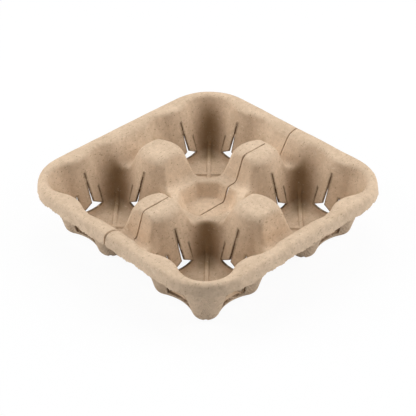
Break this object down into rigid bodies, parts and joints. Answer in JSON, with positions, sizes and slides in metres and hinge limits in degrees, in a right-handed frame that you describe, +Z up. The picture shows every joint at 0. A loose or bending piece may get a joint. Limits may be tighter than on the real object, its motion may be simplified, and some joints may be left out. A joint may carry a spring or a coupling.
{
  "type": "cup carrier",
  "caption": "Square moulded pulp tray with round-cornered cells for cups, domed posts between them, cut flaps in the cell walls and a slit line for tearing it in two.",
  "frame": {"origin": "on the ground under the middle of the tray, at the underside of the feet", "axes": "+Z up; the sides of the tray run along X and Y; the tear line lies in the plane X = 0, with its long slit on the +Y side"},
  "size_m": [0.219, 0.219, 0.0545],
  "materials": {
    "pulp": "matte moulded pulp with fine fibre specks"
  },
  "bodies": {
    "root": {"cup_carrier": "pulp"}
  },
  "joints": []
}
